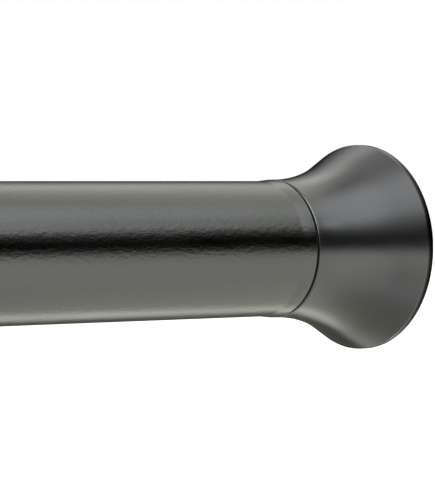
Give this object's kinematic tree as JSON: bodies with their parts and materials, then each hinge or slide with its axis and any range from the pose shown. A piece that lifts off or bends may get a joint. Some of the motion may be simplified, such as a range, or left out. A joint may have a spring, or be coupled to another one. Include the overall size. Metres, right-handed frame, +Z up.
{
  "type": "spring tension rod",
  "caption": "Telescoping tension rod for a curtain: two steel tubes with flared end caps, a twist lock inside and a spring that presses rubber pads on facing walls.",
  "frame": {"origin": "centre of the fixed end's wall pad, on its outer face", "axes": "+X along the rod's axis, out of the fixed pad and into its wall; +Z up"},
  "size_m": [0.6094, 0.0392, 0.0392],
  "materials": {
    "tube_paint": "gunmetal grey powder coat with a fine pearl texture",
    "cap_paint": "smooth satin gunmetal paint on moulded plastic",
    "pad_rubber": "matt black",
    "plug_plastic": "moulded black",
    "collar_plastic": "moulded charcoal",
    "lock_plastic": "moulded off-white",
    "bare_steel": "bright zinc plate",
    "spring_steel": "drawn spring wire, lightly oiled"
  },
  "bodies": {
    "outer_rod": {"outer_tube": "tube_paint", "fixed_cap": "cap_paint", "fixed_pad": "pad_rubber", "fixed_screw": "bare_steel", "fixed_plug": "plug_plastic", "guide_collar": "collar_plastic"},
    "lock_sleeve": {"expander_sleeve": "lock_plastic"},
    "wedge": {"wedge_nut": "plug_plastic"},
    "shaft": {"drive_shaft": "bare_steel", "thrust_washer": "bare_steel", "shaft_clips": "bare_steel", "spring_piston": "lock_plastic", "piston_nut": "bare_steel"},
    "inner_rod": {"inner_tube": "tube_paint", "glide_bush": "lock_plastic", "spring": "spring_steel", "spring_seat": "lock_plastic", "moving_plug": "plug_plastic", "moving_screw": "bare_steel", "moving_cap": "cap_paint", "moving_pad": "pad_rubber"}
  },
  "joints": [
    {"name": "extend", "type": "slide", "parent": "outer_rod", "child": "lock_sleeve", "axis": [-1, 0, 0], "range_m": [0, 0.304]},
    {"name": "twist_lock", "type": "hinge", "parent": "lock_sleeve", "child": "shaft", "pos_m": [-0.08923, 0, 0], "axis": [-1, 0, 0], "range_deg": [0, 360]},
    {"name": "wedge_travel", "type": "slide", "parent": "lock_sleeve", "child": "wedge", "axis": [1, 0, 0], "range_m": [0, 0.0031]},
    {"name": "spring_push", "type": "slide", "parent": "shaft", "child": "inner_rod", "axis": [1, 0, 0], "range_m": [0, 0.036], "stiffness_N_per_m": 1300, "springref_m": -0.02, "deforming": ["spring"]}
  ],
  "couplings": [
    {"joint": "wedge_travel", "follows": "twist_lock", "m_per_rad": 0.00047746}
  ]
}
